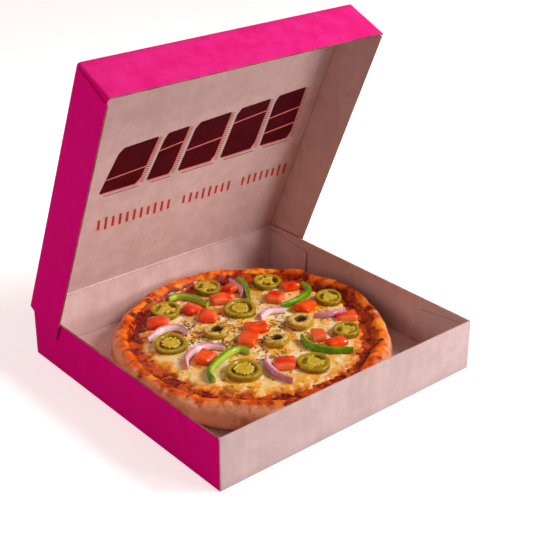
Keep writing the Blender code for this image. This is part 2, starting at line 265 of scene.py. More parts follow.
def rounded_outline(corners, radius, steps=5):
    """The outline with each corner cut to a small arc."""
    rounded = []
    for i, corner in enumerate(corners):
        corner, before, after = Vector(corner), Vector(corners[i - 1]), Vector(corners[(i + 1) % len(corners)])
        start, end = (corner + (other - corner).normalized() * radius for other in (before, after))
        rounded += [arced(start, corner, end, k / steps) for k in range(steps + 1)]
    return rounded


def finished_mesh(work, name, finishes, rule=None, smooth_deg=35):
    """Ends the work on a mesh: its finishes, each face's finish by a rule, and its shading."""
    mesh = bpy.data.meshes.new(name)
    work.to_mesh(mesh)
    work.free()
    for finish in finishes:
        mesh.materials.append(finish)
    if rule:
        for face in mesh.polygons:
            face.material_index = rule(face.center, face.normal)
    mesh.shade_smooth()
    mesh.set_sharp_from_angle(angle=math.radians(smooth_deg))
    return mesh


def shown(data):
    """An object for a mesh, lamp or camera, under the same name."""
    made = bpy.data.objects.new(data.name, data)
    bpy.context.scene.collection.objects.link(made)
    return made


def mount(mesh, body, slot_name, *stands_for):
    """Shows a finished mesh as a piece that rides on a body of the frame."""
    made = shown(mesh)
    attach(made, body)
    if stands_for:
        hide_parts(*stands_for)


tray_work = open_box(half_width, half_depth, tray_height, TRAY_FOLD, TRAY_CORNER, WALL_BOW)
# Each flap is drawn flat with x along the wall from the corner and y up, then stood against the wall.
flap = rounded_outline([(0.2 * MM, FLAP_FOOT), (FLAP_LENGTH - 1.5 * MM, FLAP_FOOT), (FLAP_LENGTH, FLAP_FREE_TOP),
                        (0.2 * MM, FLAP_TOP)], 1.4 * MM)
for side in (-1, 1):
    for end in (-1, 1):
        along = Vector((-side * FLAP_LEAN, -end, 0)).normalized()
        out_of_wall = along.cross(Vector((0, 0, 1)))
        start = Vector((side * (half_width - BOARD - 0.05 * MM), end * (half_depth - BOARD), 0))
        place = Matrix.Translation(start) @ Matrix((along, (0, 0, 1), out_of_wall)).transposed().to_4x4()
        if out_of_wall.x * side > 0:
            place = place @ Matrix.Translation((0, 0, -FLAP_BOARD))
        board_sheet(tray_work, flap, FLAP_BOARD, place)


def tray_side(centre, normal):
    """Which finish a face of the tray has."""
    if centre.z < TRAY_FOLD and normal.z < -0.3:
        return FRONT if normal.y < -0.3 else PRINTED
    if normal.z > 0.5 and centre.z > tray_height - 0.3 * MM:
        if centre.y < -half_depth + 2 * MM:
            return FRONT
        return WORN if centre.x < -half_width + 2 * MM else EDGE
    outer_x, outer_y = half_width - abs(centre.x), half_depth - abs(centre.y)
    faces_out = normal.x * centre.x > 0 if outer_x < outer_y else normal.y * centre.y > 0
    if min(outer_x, outer_y) < 0.5 * MM and faces_out:
        return FRONT if normal.y < -0.6 else PRINTED
    if abs(normal.y) > 0.7 and abs(centre.x) > half_width - 4 * MM and abs(centre.y) < half_depth - 10 * MM:
        return EDGE
    # Painted shade: the faces of the pressed crease along the floor take the darker cut-edge board, so the fold
    # reads as a dark line.
    if TRAY_FOLD < centre.z < BOARD - 0.05 * MM and min(outer_x, outer_y) > BOARD:
        return EDGE
    # Painted light: the visible face of the flap glued at the right front takes the front wall's board
    # instead of the inside board, so that it reads paler than the wall behind it, as if it caught more light.
    if 0.5 * MM < outer_x - BOARD < 2 * MM and abs(normal.x) > 0.7 and centre.x > 0 > centre.y:
        return FRONT
    return INSIDE


mount(finished_mesh(tray_work, "tray_board", BOX_FINISHES, tray_side), "tray", "board", "tray")


# Lid
# The upper half of the same blank: a panel with a front flap and two side flaps, printed magenta
# outside. It stands open and leans forward; the front corners have a cut slit that gapes at the rim.

LID_OPEN_DEG = 66.5
LID_HALF_WIDTH, LID_LENGTH, LID_DEPTH, LID_TOP = 126 * MM, 242 * MM, 40 * MM, 1.8 * MM
LID_FOLD, LID_CORNER, REAR_SPARE = 1.1 * MM, 2.4 * MM, 20 * MM
SLIT_GAPES, TAB_LENGTH, TAB_BOARD = {-1: 4.6 * MM, 1: 1.3 * MM}, 14 * MM, 0.40 * MM
opened = Matrix.Translation((0, half_depth, tray_height)) @ Matrix.Rotation(-math.radians(LID_OPEN_DEG), 4, "X")


def block(work, low, high):
    """Eight corners of board or of cutting shape between two corners, added to a mesh under work."""
    made = bmesh.ops.create_cube(work, size=1.0)["verts"]
    for vert in made:
        vert.co = Vector((a + b) / 2 + c * (b - a) for c, a, b in zip(vert.co, low, high))
    return made


def evaluated(holder):
    """The mesh that an object's modifier makes, as a plain mesh."""
    bpy.context.view_layer.update()
    return bpy.data.meshes.new_from_object(holder.evaluated_get(bpy.context.evaluated_depsgraph_get()))


def cut_away(work, cutting):
    """Takes the cutting shape out of the work."""
    holders = [shown(finished_mesh(part, "cut", [])) for part in (work, cutting)]
    step = holders[0].modifiers.new("cut", "BOOLEAN")
    step.operation, step.object, step.solver = "DIFFERENCE", holders[1], "EXACT"
    cut = evaluated(holders[0])
    for holder in holders:
        bpy.data.objects.remove(holder)
    result = bmesh.new()
    result.from_mesh(cut)
    bpy.data.meshes.remove(cut)
    return result


lid_work = open_box(LID_HALF_WIDTH, (LID_LENGTH + REAR_SPARE) / 2, LID_DEPTH, LID_FOLD, LID_CORNER)
bmesh.ops.transform(lid_work, verts=lid_work.verts, matrix=Matrix.Translation(
    (0, (REAR_SPARE - LID_LENGTH) / 2, LID_TOP)) @ Matrix.Rotation(math.pi, 4, "Y"))
cutting = bmesh.new()
block(cutting, (-0.2, -0.4 * MM, -0.1), (0.2, 0.06, 0.05))
slit = -LID_LENGTH + 2.5 * MM
for side, gape in SLIT_GAPES.items():
    wedge = block(cutting, (side * LID_HALF_WIDTH - 2 * MM, slit, LID_TOP - 1.2 * LID_DEPTH),
                  (side * LID_HALF_WIDTH + 2 * MM, slit + 1.2 * gape, LID_TOP - 1.0 * MM))
    for vert in wedge:
        if vert.co.z > 0 and vert.co.y > slit + 0.1 * MM:
            vert.co.y = slit + 0.3 * MM
lid_work = cut_away(lid_work, cutting)
# The front flap's left tab, glued behind the side flap, closes the slit from within.
behind_wall = BOARD + 0.05 * MM
block(lid_work, (-LID_HALF_WIDTH + behind_wall, -LID_LENGTH + behind_wall, LID_TOP - LID_DEPTH + 1.5 * MM),
      (-LID_HALF_WIDTH + BOARD + TAB_BOARD, -LID_LENGTH + TAB_LENGTH, LID_TOP - BOARD - 0.1 * MM))


def lid_side(centre, normal):
    """Which finish a face of the lid has, with the lid shut."""
    gaps = {"x": LID_HALF_WIDTH - abs(centre.x), "y": centre.y + LID_LENGTH, "z": LID_TOP - centre.z}
    outward = {"x": normal.x * math.copysign(1, centre.x), "y": -normal.y, "z": normal.z}
    # Painted sheen: the front flap's outer face takes the paler copy of the magenta print, standing in for the
    # light it reflects.
    if gaps["y"] < 0.8 * MM and outward["y"] > 0.7:
        return PALE_PRINT
    if any(gaps[axis] < 0.8 * MM and outward[axis] > 0.35 for axis in "xyz"):
        return PRINTED
    if gaps["x"] < BOARD + 0.3 * MM and outward["x"] > 0.7:
        return PRINTED
    if normal.z < -0.5 and centre.z < LID_TOP - LID_DEPTH + 0.3 * MM:
        return WORN
    if normal.y > 0.7 and centre.y > -1 * MM:
        return EDGE
    # Painted shade: the cut faces inside the slit take the magenta print instead of pale cut board, so the slit
    # reads dark.
    if abs(normal.y) > 0.7 and 2 * MM < gaps["y"] < 10 * MM and gaps["x"] < BOARD:
        return PRINTED
    # Painted shade: the faces of the pressed crease along the panel's folds take the darker cut-edge board, so
    # the folds read as dark lines.
    if centre.z > LID_TOP - BOARD + 0.05 * MM:
        return EDGE
    return INSIDE


def mount_on_lid(mesh, *stands_for):
    """Turns a mesh that is drawn with the lid shut to the open lid, and mounts it there."""
    mesh.transform(opened)
    mount(mesh, "lid", "printed_board", *stands_for)


mount_on_lid(finished_mesh(lid_work, "lid_board", BOX_FINISHES, lid_side), "lid")


# Hinge crease
# The scored fold that joins the tray's rear wall to the lid: board pressed thin along a line and
# bent over, printed on its outer side.

CREASE_STEPS, CREASE_OVERHANG = 6, 0.4 * MM
tray_inner, tray_outer = (Vector((y, tray_height - 0.6 * MM)) for y in (half_depth - BOARD, half_depth))
lid_inner, lid_outer = (Vector((opened @ Vector((0, -0.9 * MM, z)))[1:]) for z in (0.3 * MM, LID_TOP))
crease_bulge = Vector((half_depth + 1.0 * MM, tray_height + 0.4 * MM))
steps = [i / CREASE_STEPS for i in range(CREASE_STEPS + 1)]
ring = [(arced(tray_outer, crease_bulge, lid_outer, t), PRINTED) for t in steps]
ring += [(tray_inner.lerp(lid_inner, t), INSIDE) for t in steps[::-1]]
crease_work = bmesh.new()
ends = [[crease_work.verts.new((x, *point)) for point, _ in ring]
        for x in (-half_width - CREASE_OVERHANG, half_width + CREASE_OVERHANG)]
for face, (_, finish) in zip(band(crease_work, *ends), ring):
    face.material_index = finish
crease_work.faces.new(ends[0][::-1])
crease_work.faces.new(ends[1])
bmesh.ops.recalc_face_normals(crease_work, faces=crease_work.faces)
crease = shown(finished_mesh(crease_work, "hinge_crease", BOX_FINISHES, smooth_deg=60))
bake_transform(crease)


# Print on the lid's inner face
# A row of five leaning dark bricks with pink slots, an offset underline and hatching, and under it a
# thin row of short red bars: ink on the board, laid as films a few hundredths of a millimetre thick.

INK_FACE, LINE_WIDTH, STROKES = 0.3 * MM, 0.7 * MM, 24
MAROON, PINK = 0, 1
# Each brick: its left and right foot, how far its head leans right, and how high its thin slots run.
BRICKS = [(0.00, 0.19, 0.02, (0.30,)), (0.225, 0.345, 0.02, (0.62,)), (0.38, 0.565, 0.02, (0.42,)),
          (0.60, 0.78, 0.02, (0.70,)), (0.815, 0.985, 0.015, (0.24, 0.55))]
OFFSET_PINK, OFFSET_LINE, OFFSET_STROKE = (Vector(step) * MM for step in ((1.5, 1.7), (3.0, 4.0), (2.3, 0.9)))
BAR_GROUPS, BAR_GAP = (11, 8, 8), 1.3

ink_maroon = board_finish("ink_maroon", (66, 0, 12), (84, 4, 20), 0.6, 0.1, 0.01 * MM)
ink_pink = board_finish("ink_pink", (224, 118, 108), (238, 138, 126), 0.7, 0.1, 0.01 * MM)
ink_red = board_finish("ink_red", (186, 44, 32), (204, 60, 44), 0.7, 0.1, 0.01 * MM)


def on_panel(u, v):
    """A place on the panel, from its left edge and from the hinge, as shares of its size."""
    return Vector(((u - 0.5) * 2 * LID_HALF_WIDTH, -v * LID_LENGTH))


def on_row(t, s):
    """A place in the row of bricks: t along it, s up it."""
    lower = on_panel(0.168, 0.445).lerp(on_panel(0.935, 0.456), t)
    upper = on_panel(0.196, 0.620).lerp(on_panel(0.920, 0.680), t)
    return lower.lerp(upper, s)


def ink_film(outline, depth, index):
    """A film of ink on the panel's inner face, with the lid shut."""
    before = set(ink_work.faces)
    board_sheet(ink_work, outline, depth + 0.1 * MM, Matrix.Translation((0, 0, INK_FACE - depth)))
    for face in set(ink_work.faces) - before:
        face.material_index = index


ink_work = bmesh.new()
strokes = []
for left, right, lean, slots in BRICKS:
    notch = 0.10 * (right - left)
    corners = [(left, 0), (right - notch, 0), (right, 0.12), (right + lean, 1), (left + lean + notch, 1),
               (left + lean, 0.88)]
    brick = rounded_outline([on_row(*corner) for corner in corners[::-1]], 1.2 * MM)
    ink_film(brick, 0.07 * MM, MAROON)
    ink_film([point + OFFSET_PINK for point in brick], 0.04 * MM, PINK)
    for at in slots:
        near, far = left + lean * at + 0.002, right + lean * at - 0.002
        slot = [on_row(near, at + 0.025), on_row(far, at + 0.075), on_row(far, at + 0.05), on_row(near, at)]
        ink_film(slot, 0.09 * MM, PINK)
    start, end = (on_row(t, 0) + OFFSET_LINE for t in (left + 0.01, right - 0.01))
    drop = Vector((0, -LINE_WIDTH))
    ink_film([start, start + drop, end + drop, end], 0.05 * MM, MAROON)
    for s in ((i + 0.5) / STROKES for i in range(STROKES)):
        strokes.append((*(on_row(right + lean * s, s) + OFFSET_STROKE), INK_FACE))
mount_on_lid(finished_mesh(ink_work, "lid_print", [ink_maroon, ink_pink]))


def new_tree(name, inputs):
    """A Geometry Nodes tree with named inputs; gives the tree, its start and its end."""
    tree = bpy.data.node_groups.new(name, "GeometryNodeTree")
    tree.interface.new_socket(name="Geometry", in_out="OUTPUT", socket_type="NodeSocketGeometry")
    for label, kind in {"Geometry": "Geometry", **inputs}.items():
        tree.interface.new_socket(name=label, in_out="INPUT", socket_type="NodeSocket" + kind)
    return tree, node(tree, "NodeGroupInput").outputs, node(tree, "NodeGroupOutput").inputs


def end_tree(tree, out, finish, points, shape, turn, scale):
    """Ends a tree: a copy of a shape at each point, made real and given its finish."""
    copies = node(tree, "GeometryNodeInstanceOnPoints",
                  {"Points": points, "Instance": shape, "Rotation": turn.outputs[0], "Scale": scale})
    plain = node(tree, "GeometryNodeRealizeInstances", {"Geometry": copies.outputs[0]})
    dressed = node(tree, "GeometryNodeSetMaterial", {"Geometry": plain.outputs[0], "Material": finish})
    tree.links.new(dressed.outputs[0], out["Geometry"])


def grown(name, source, tree, values):
    """Runs a tree on a mesh with its inputs' values, and gives the result as a plain mesh of one finish."""
    holder = shown(source)
    grow = holder.modifiers.new("grow", "NODES")
    grow.node_group = tree
    for socket in tree.interface.items_tree:
        if socket.in_out == "INPUT" and socket.name in values:
            grow[socket.identifier] = values[socket.name]
    mesh = evaluated(holder)
    bpy.data.objects.remove(holder)
    mesh.name = name
    finish = mesh.materials[len(mesh.materials) - 1]
    mesh.polygons.foreach_set("material_index", [0] * len(mesh.polygons))
    mesh.materials.clear()
    mesh.materials.append(finish)
    return mesh


# One tree repeats a small flat bar at each point: hatch strokes beside the bricks, bars in the thin row.
marks_tree, given, out = new_tree("printed_marks", {
    "Length": "Float", "Width": "Float", "Film": "Float", "Turn": "Float", "Shortest": "Float",
    "Ink": "Material"})
size = node(marks_tree, "ShaderNodeCombineXYZ", {"X": given["Length"], "Y": given["Width"], "Z": given["Film"]})
bar = node(marks_tree, "GeometryNodeMeshCube", {"Size": size.outputs[0]})
uneven = node(marks_tree, "FunctionNodeRandomValue", {2: given["Shortest"], 3: 1.0, "Seed": 5}, data_type="FLOAT")
shrunk = node(marks_tree, "ShaderNodeCombineXYZ", {"X": 1.0, "Y": uneven.outputs[1], "Z": 1.0})
end_tree(marks_tree, out, given["Ink"], given["Geometry"], bar.outputs["Mesh"],
         node(marks_tree, "ShaderNodeCombineXYZ", {"Z": given["Turn"]}), shrunk.outputs[0])


def printed_marks(name, places, length, width, turn, shortest, ink):
    """A row of flat bars of ink at the given places, mounted on the lid."""
    points = bpy.data.meshes.new("places")
    points.from_pydata(places, [], [])
    mount_on_lid(grown(name, points, marks_tree, {
        "Length": length, "Width": width, "Film": 0.14 * MM, "Turn": turn, "Shortest": shortest, "Ink": ink}))


bars, t = [], 0.0
for count in BAR_GROUPS:
    bars += [t + i for i in range(count)]
    t += count + BAR_GAP
bar_row = [(*on_panel(0.195, 0.300).lerp(on_panel(0.955, 0.296), t / bars[-1]), INK_FACE) for t in bars]
printed_marks("lid_hatching", strokes, 3.3 * MM, 0.6 * MM, 0.3, 0.9, ink_maroon)
printed_marks("lid_bars", bar_row, 2.4 * MM, 14.0 * MM, -0.10, 0.6, ink_red)


# Crust
# Stretched dough with a puffed rim, baked on a hot floor: floury and pale on its crown, tan on its
# side, browned where it blistered, and stained orange by sauce and oil down its inner slope.

TAU = math.tau
PIZZA_CENTRE = Vector((5.0, 2.0, 0.0)) * MM
PIZZA_ACROSS, PIZZA_ALONG, LONG_AXIS_DEG = 111 * MM, 115 * MM, -130.0
PIZZA_BASE, RIM_TOP, RIM_FOOT, NEAR_DIP = 1.8 * MM, 26.2 * MM, 18 * MM, 1.5 * MM
CRUST_STEPS, CRUST_ROWS = 384, 64
# The rim's cut as shares of the way to the edge, with heights in millimetres.
CRUST_PROFILE = [(0.0, 17.6), (0.60, 17.6), (0.80, 17.6), (0.850, 18.0), (0.868, 21.5), (0.892, 25.0),
                 (0.925, 26.2), (0.962, 24.3), (0.990, 19.5), (1.0, 14.0), (0.990, 8.5), (0.960, 4.0),
                 (0.915, 1.9), (0.80, 1.8), (0.5, 1.8)]
# Burnt spots, each at x and y and with its size, in millimetres.
BURNS = [(-76, 38, 5.5), (-89, 35, 4.0), (-54, 82, 5.0), (-92, -4, 4.0), (-84, -18, 3.5), (-30, 96, 3.5),
         (-66, 66, 3.0), (50, 88, 4.0), (92, 40, 3.5), (98, 2, 3.0), (-70, -62, 3.5), (26, -96, 3.0),
         (70, -76, 3.0)]


def waves(angle, *terms):
    return sum(height * math.sin(count * angle + phase) for height, count, phase in terms)


def pizza_edge(angle):
    """Distance from the pizza's centre to its outer edge: an oval, pulled out of round by hand."""
    turn = angle - math.radians(LONG_AXIS_DEG)
    oval = PIZZA_ALONG * PIZZA_ACROSS / math.hypot(PIZZA_ACROSS * math.cos(turn), PIZZA_ALONG * math.sin(turn))
    return oval * (1 + waves(angle, (0.008, 3, 0.8), (0.005, 7, 2.1), (0.003, 13, 0.3)))


def on_pizza(share, angle, z):
    return PIZZA_CENTRE + polar(share * pizza_edge(angle), angle, z)


def nearside(angle):
    """1 at the left front, where the rim baked lower and the sauce lies bare, down to 0 past a quarter turn."""
    return max(0.0, math.cos(angle + math.radians(130)))


def smooth_path(points, count):
    """Evenly counted points of a smooth curve through the given ones."""
    points = [points[0] * 2 - points[1], *points, points[-1] * 2 - points[-2]]
    path = []
    for i in range(count):
        t = i / (count - 1) * (len(points) - 3)
        k = min(int(t), len(points) - 4)
        t -= k
        a, b, c, d = points[k:k + 4]
        square, cube = (2 * a - 5 * b + 4 * c - d) * t**2, (3 * b - a - 3 * c + d) * t**3
        path.append(0.5 * (2 * b + (c - a) * t + square + cube))
    return path


def round_mesh(rows, steps, place):
    """A closed round skin: place(row, angle) puts each point, and the first and last row close at one point."""
    work = bmesh.new()
    rings = [[work.verts.new(place(row, TAU * i / steps)) for i in range(steps)] for row in rows[1:-1]]
    top, base = (work.verts.new(place(row, 0.0)) for row in (rows[0], rows[-1]))
    for i in range(steps):
        j = (i + 1) % steps
        work.faces.new((top, rings[0][i], rings[0][j]))
        work.faces.new((base, rings[-1][j], rings[-1][i]))
        for inner, outer in zip(rings, rings[1:]):
            work.faces.new((inner[i], outer[i], outer[j], inner[j]))
    return work


def bumpy(point, size, seed, octaves=3):
    """Soft noise between about -1 and 1, with swells of a size in metres."""
    return noise.fractal(point / size + Vector((seed * 7.3, seed * 3.1, seed)), 1.0, 2.0, octaves)


draw = random.Random(11)
blisters = [(draw.uniform(0, TAU), draw.uniform(0.885, 0.985), draw.uniform(1.8, 4.6) * MM,
             draw.uniform(0.3, 1.0) * MM) for _ in range(90)]


def crust_point(row, angle):
    share, z = row.x, row.y
    z -= NEAR_DIP * nearside(angle) * max(0.0, (z - RIM_FOOT) / (RIM_TOP - RIM_FOOT))
    if share > 0.86 and z > PIZZA_BASE + MM:
        puff = waves(angle, (0.9 * MM, 5, 0.4), (0.6 * MM, 11, 1.9), (0.4 * MM, 19, 4.0))
        z += puff * (z - PIZZA_BASE) / (RIM_TOP - PIZZA_BASE)
    point = on_pizza(share, angle, z)
    if share < 0.855 or z < 3 * MM:
        return point
    lumps = 0.75 * bumpy(point, 17 * MM, 1) + 0.28 * bumpy(point, 5 * MM, 2) + 0.10 * bumpy(point, 1.6 * MM, 3)
    point += polar(1, angle) * lumps * MM * 0.8
    if z > 14 * MM:
        point.z += lumps * MM * 0.7
        for at, reach, size, height in blisters:
            gap = math.hypot((angle - at + math.pi) % TAU - math.pi, share - reach) * pizza_edge(angle)
            if gap < 2.4 * size:
                point.z += height * math.exp(-(gap / size) ** 2 * 1.6)
    return point


def outward_mesh(work, name, finish, smooth_deg=80):
    """Ends the work on a closed skin of one finish, with its faces turned outwards."""
    bmesh.ops.recalc_face_normals(work, faces=work.faces)
    return finished_mesh(work, name, [finish], smooth_deg=smooth_deg)


def painted(mesh, name, numbers):
    """Stores one number for each point of a mesh."""
    mesh.attributes.new(name, "FLOAT", "POINT").data.foreach_set("value", numbers)
    return mesh


def share_of(point):
    """How far from the pizza's centre to its edge a point lies, as a share."""
    offset = point - PIZZA_CENTRE
    return math.hypot(offset.x, offset.y) / pizza_edge(math.atan2(offset.y, offset.x))


def burnt(point):
    """How charred a point is, from 0 to 1."""
    px, py = point.x / MM, point.y / MM
    return max(math.exp(-(((px - x) ** 2 + (py - y) ** 2) / size**2) * 0.9) for x, y, size in BURNS)


# Oven marks: soft golden patches and smaller brown ones, for dough and cheese alike.
(where, patch_scale, reach), out = new_group(
    "oven_marks", {"Patch Scale": 110.0, "Reach": 0.5}, ["Golden", "Brown", "Height"])
fine = where.speckle(patch_scale * 3.1, 3.0, 0.5, 0.3)
mottling = where.speckle(patch_scale, 2.0, 0.5, 0.5) * 0.7 + fine * 0.3
start = 1.02 - reach
mottling.slope(start - 0.05, start + 0.05).to(out["Golden"])
mottling.slope(start + 0.06, start + 0.14).to(out["Brown"])
fine.to(out["Height"])

baked, shader, where = new_finish("baked_dough", 0.62)
share = where.stored("share")
height = where.made("ShaderNodeSeparateXYZ", {"Vector": where}, "Z")
marks = where.through("oven_marks", Patch_Scale=60.0, Reach=0.54)
side_colour = (marks["Golden"] * 0.8).mix((234, 164, 124), (212, 128, 84))
side_colour = (marks["Brown"] * 0.7).mix(side_colour, (170, 92, 54))
side_colour = (height.slope(12 * MM, 2 * MM) * 0.5).mix(side_colour, (172, 104, 68))
crown_colour = where.speckle(160.0).mix((232, 156, 106), (246, 194, 150))
dough = height.slope(16 * MM, 23.5 * MM).mix(side_colour, crown_colour)
# Oil and sauce stain the inner slope orange, redder where it baked darker and at its foot.
red_marks = where.through("oven_marks", Patch_Scale=75.0, Reach=0.53)
oily = where.speckle(90.0, 2.0).slope(0.35, 0.65).mix((236, 100, 8), (252, 150, 32))
oily = (red_marks["Golden"] * 0.8).mix(oily, (196, 58, 10))
oily = red_marks["Brown"].mix(oily, (122, 24, 8))
oily = (share + where.speckle(90.0, 4.0, 0.6) * 0.09).slope(0.935, 0.905).mix(oily, (120, 18, 6))
stain = (share + where.speckle(110.0, 5.0, 0.65, 0.5) * 0.16).slope(1.072, 1.012)
coloured = (stain * height.slope(17 * MM, 19 * MM)).mix(dough, oily)
charred = (where.stored("char") * (where.speckle(260.0, 4.0, 0.7) + 0.5)).slope(0.30, 0.75)
(charred * 0.9).mix(coloured, (84, 24, 12)).to(shader["Base Color"])
(0.72 - stain * 0.34).to(shader["Roughness"])
(marks["Height"] + where.speckle(1400.0) * 0.4).to_relief(shader, 0.4 * MM)

crust_rows = smooth_path([Vector((share, z * MM, 0)) for share, z in CRUST_PROFILE], CRUST_ROWS)
crust_rows = [Vector((0, 17.6 * MM, 0)), *crust_rows[1:], Vector((0, PIZZA_BASE, 0))]
crust_mesh = outward_mesh(round_mesh(crust_rows, CRUST_STEPS, crust_point), "crust_rim", baked)
painted(crust_mesh, "share", [share_of(vert.co) for vert in crust_mesh.vertices])
painted(crust_mesh, "char", [burnt(vert.co) for vert in crust_mesh.vertices])
mount(crust_mesh, "tray", "baked_dough", "crust")


# Sauce
# Tomato sauce spread thin on the dough, baked dark and glossy; it shows as a ragged band of lumps
# between the cheese and the foot of the rim.

SAUCE_ROWS, SAUCE_STEPS = 52, 420
SAUCE_TOP, SAUCE_BASE, SAUCE_CLIMB = 18.9 * MM, 17.9 * MM, 2.4 * MM
sauce_rows = [(0.0, 1), *((0.40 + 0.482 * (i / SAUCE_ROWS) ** 0.6, 1) for i in range(SAUCE_ROWS + 1)),
              (0.84, 0), (0.5, 0), (0.0, 0)]


def sloped_by(value, low, high):
    """0 below low, 1 above high, and a smooth slope between."""
    t = min(max((value - low) / (high - low), 0.0), 1.0)
    return t * t * (3 - 2 * t)


def sauce_point(row, angle):
    share, upper = row
    if not upper:
        return on_pizza(share, angle, SAUCE_BASE)
    share += 0.016 * bumpy(on_pizza(0.85, angle, 0), 7 * MM, 4) * sloped_by(share, 0.80, 0.87)
    point = on_pizza(share, angle, SAUCE_TOP)
    lump = 0.75 * bumpy(point, 5.0 * MM, 5) + 0.40 * bumpy(point, 2.0 * MM, 6)
    point.z += (0.35 + lump) * MM * sloped_by(share, 0.72, 0.79)
    # The last lumps climb the foot of the rim.
    point.z += max(0.0, share - 0.846) / 0.018 * SAUCE_CLIMB * (1 - 0.26 * nearside(angle))
    return point


tomato, shader, where = new_finish("tomato_sauce", 0.34, 0.4, 0.08)
red = where.speckle(230.0, 4.0, 0.6).slope(0.35, 0.65).mix((92, 8, 4), (158, 30, 8))
red = (where.speckle(130.0, 3.0, 0.55, 0.5).slope(0.53, 0.62) * 0.85).mix(red, (226, 96, 14))
greasy = where.speckle(48.0, 3.0, 0.55, 0.4).slope(0.46, 0.56)
(greasy * 0.8).mix(red, (216, 84, 14)).to(shader["Base Color"])
where.speckle(600.0, 4.0, 0.6).to_relief(shader, 0.6 * MM)
sauce_mesh = outward_mesh(round_mesh(sauce_rows, SAUCE_STEPS, sauce_point), "sauce_layer", tomato)
mount(sauce_mesh, "tray", "tomato_sauce", "sauce")


# Cheese
# Grated mozzarella melted to one uneven sheet: cream in the middle, golden and orange where it
# browned, pitted down to the sauce near its ragged edge, and risen a little round each topping.

CHEESE_BASE, CHEESE_TOP, CHEESE_BUMP = 19.0 * MM, 20.8 * MM, 0.5 * MM
CHEESE_ROWS, CHEESE_STEPS, CHEESE_LIMIT = 74, 400, 0.862
topping_spots = []
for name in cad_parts:
    if name.split("_")[0] in ("jalapeno", "olive", "red"):
        low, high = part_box(name)
        spot = ((low.x + high.x) / 2, (low.y + high.y) / 2, min(high.x - low.x, high.y - low.y) / 2)
        topping_spots.append(spot)


def cheese_reach(angle):
    """How far the melted cheese reaches, as a share of the way to the edge."""
    reach = 0.80 + waves(angle, (0.014, 5, 1.0), (0.010, 9, 0.4), (0.007, 17, 2.5))
    ragged = 0.024 * bumpy(on_pizza(0.80, angle, 0), 6 * MM, 7)
    return min(reach + 0.014 - 0.018 * nearside(angle) + ragged, CHEESE_LIMIT)


def cheese_height(point, share):
    """The height of the cheese's surface above its plain top, near its edge and round toppings."""
    swell = 0.5 + 0.25 * math.sin(point.x / 0.011 + 1.3) + 0.25 * math.sin(point.y / 0.013 - point.x / 0.031)
    rise = CHEESE_BUMP * (2 * swell - 1)
    rise += (0.32 * bumpy(point, 7 * MM, 8) + 0.16 * bumpy(point, 2.4 * MM, 9)) * MM
    for x, y, radius in topping_spots:
        gap = math.hypot(point.x - x, point.y - y) - radius
        if gap < 5 * MM:
            rise += 0.55 * MM * math.exp(-(gap / (1.7 * MM)) ** 2)
    worn = sloped_by(share, 0.80, 1.0)
    pits = bumpy(point, 5.0 * MM, 10)
    return max(rise + worn * (min(0.0, pits - 0.05) * 3.4 - 0.3 * worn) * MM, CHEESE_BASE - 1.2 * MM - CHEESE_TOP)


def cheese_point(row, angle):
    share, upper = row
    if not upper:
        return on_pizza(share * cheese_reach(angle), angle, CHEESE_BASE - 1.4 * MM)
    point = on_pizza(share * cheese_reach(angle), angle, CHEESE_TOP)
    point.z += cheese_height(point, share)
    if share > 0.93:
        point.z = max(point.z - 2.4 * MM * ((share - 0.93) / 0.07) ** 2.0, CHEESE_BASE - 1.3 * MM)
    return point


melted, shader, where = new_finish("melted_cheese", 0.42, 0.3, 0.12)
rim_side = (where.stored("share") + where.speckle(70.0, 4.0, 0.6) * 0.12).slope(0.70, 0.895)
marks = where.through("oven_marks", Patch_Scale=62.0, Reach=rim_side * 0.10 + 0.50)
gold = rim_side.mix(where.speckle(150.0).mix((246, 158, 6), (255, 198, 44)), (236, 118, 24))
coloured = where.speckle(60.0, 3.0, 0.55).slope(0.36, 0.62).mix((250, 214, 130), (255, 249, 220))
coloured = (rim_side * 0.42).mix(coloured, (244, 160, 62))
coloured = (marks["Golden"] * 0.94).mix(coloured, gold)
# Small square-edged gold patches, where another grated cheese melted.
cells = node(where.tree, "ShaderNodeTexVoronoi", {"Vector": where, "Scale": 105.0}, distance="CHEBYCHEV").outputs
picked = where.made("ShaderNodeSeparateXYZ", {"Vector": cells["Color"]}, "X").slope(0.86, 0.88)
patches = picked * Field(where.tree, cells["Distance"]).slope(0.42, 0.30)
coloured = (patches * 0.85).mix(coloured, (250, 178, 40))
(marks["Brown"] * (rim_side * 0.9 + 0.10)).mix(coloured, (140, 40, 12)).to(shader["Base Color"])
(0.48 - marks["Golden"] * 0.16).to(shader["Roughness"])
shader["Subsurface Weight"].default_value = 0.12
shader["Subsurface Radius"].default_value = (0.004, 0.002, 0.001)
shader["Subsurface Scale"].default_value = 0.5
(marks["Height"] + where.speckle(700.0, 2.0) * 0.2).to_relief(shader, 0.5 * MM)

cheese_rows = [(0.0, 1), *(((i / CHEESE_ROWS) ** 0.72, 1) for i in range(2, CHEESE_ROWS + 1)),
               (0.999, 0), (0.6, 0), (0.0, 0)]
cheese_mesh = outward_mesh(round_mesh(cheese_rows, CHEESE_STEPS, cheese_point), "cheese_sheet", melted)
painted(cheese_mesh, "share", [share_of(vert.co) for vert in cheese_mesh.vertices])
mount(cheese_mesh, "tray", "melted_cheese", "cheese")


# Jalapeno slices
# Rings cut 5 mm thick from pickled green chillies: a shiny olive skin, paler flesh, hollow seed
# chambers round a yellow core, and seeds that cling to it. They lie pressed a little into the cheese.

SLICE_TURNS_DEG = [10, 75, 130, 40, 95, 20, 150, 60, 15]
SLICE_STEPS, SLICE_ROWS, CHAMBERS, SLICE_SINK = 96, 34, 3, 0.75 * MM
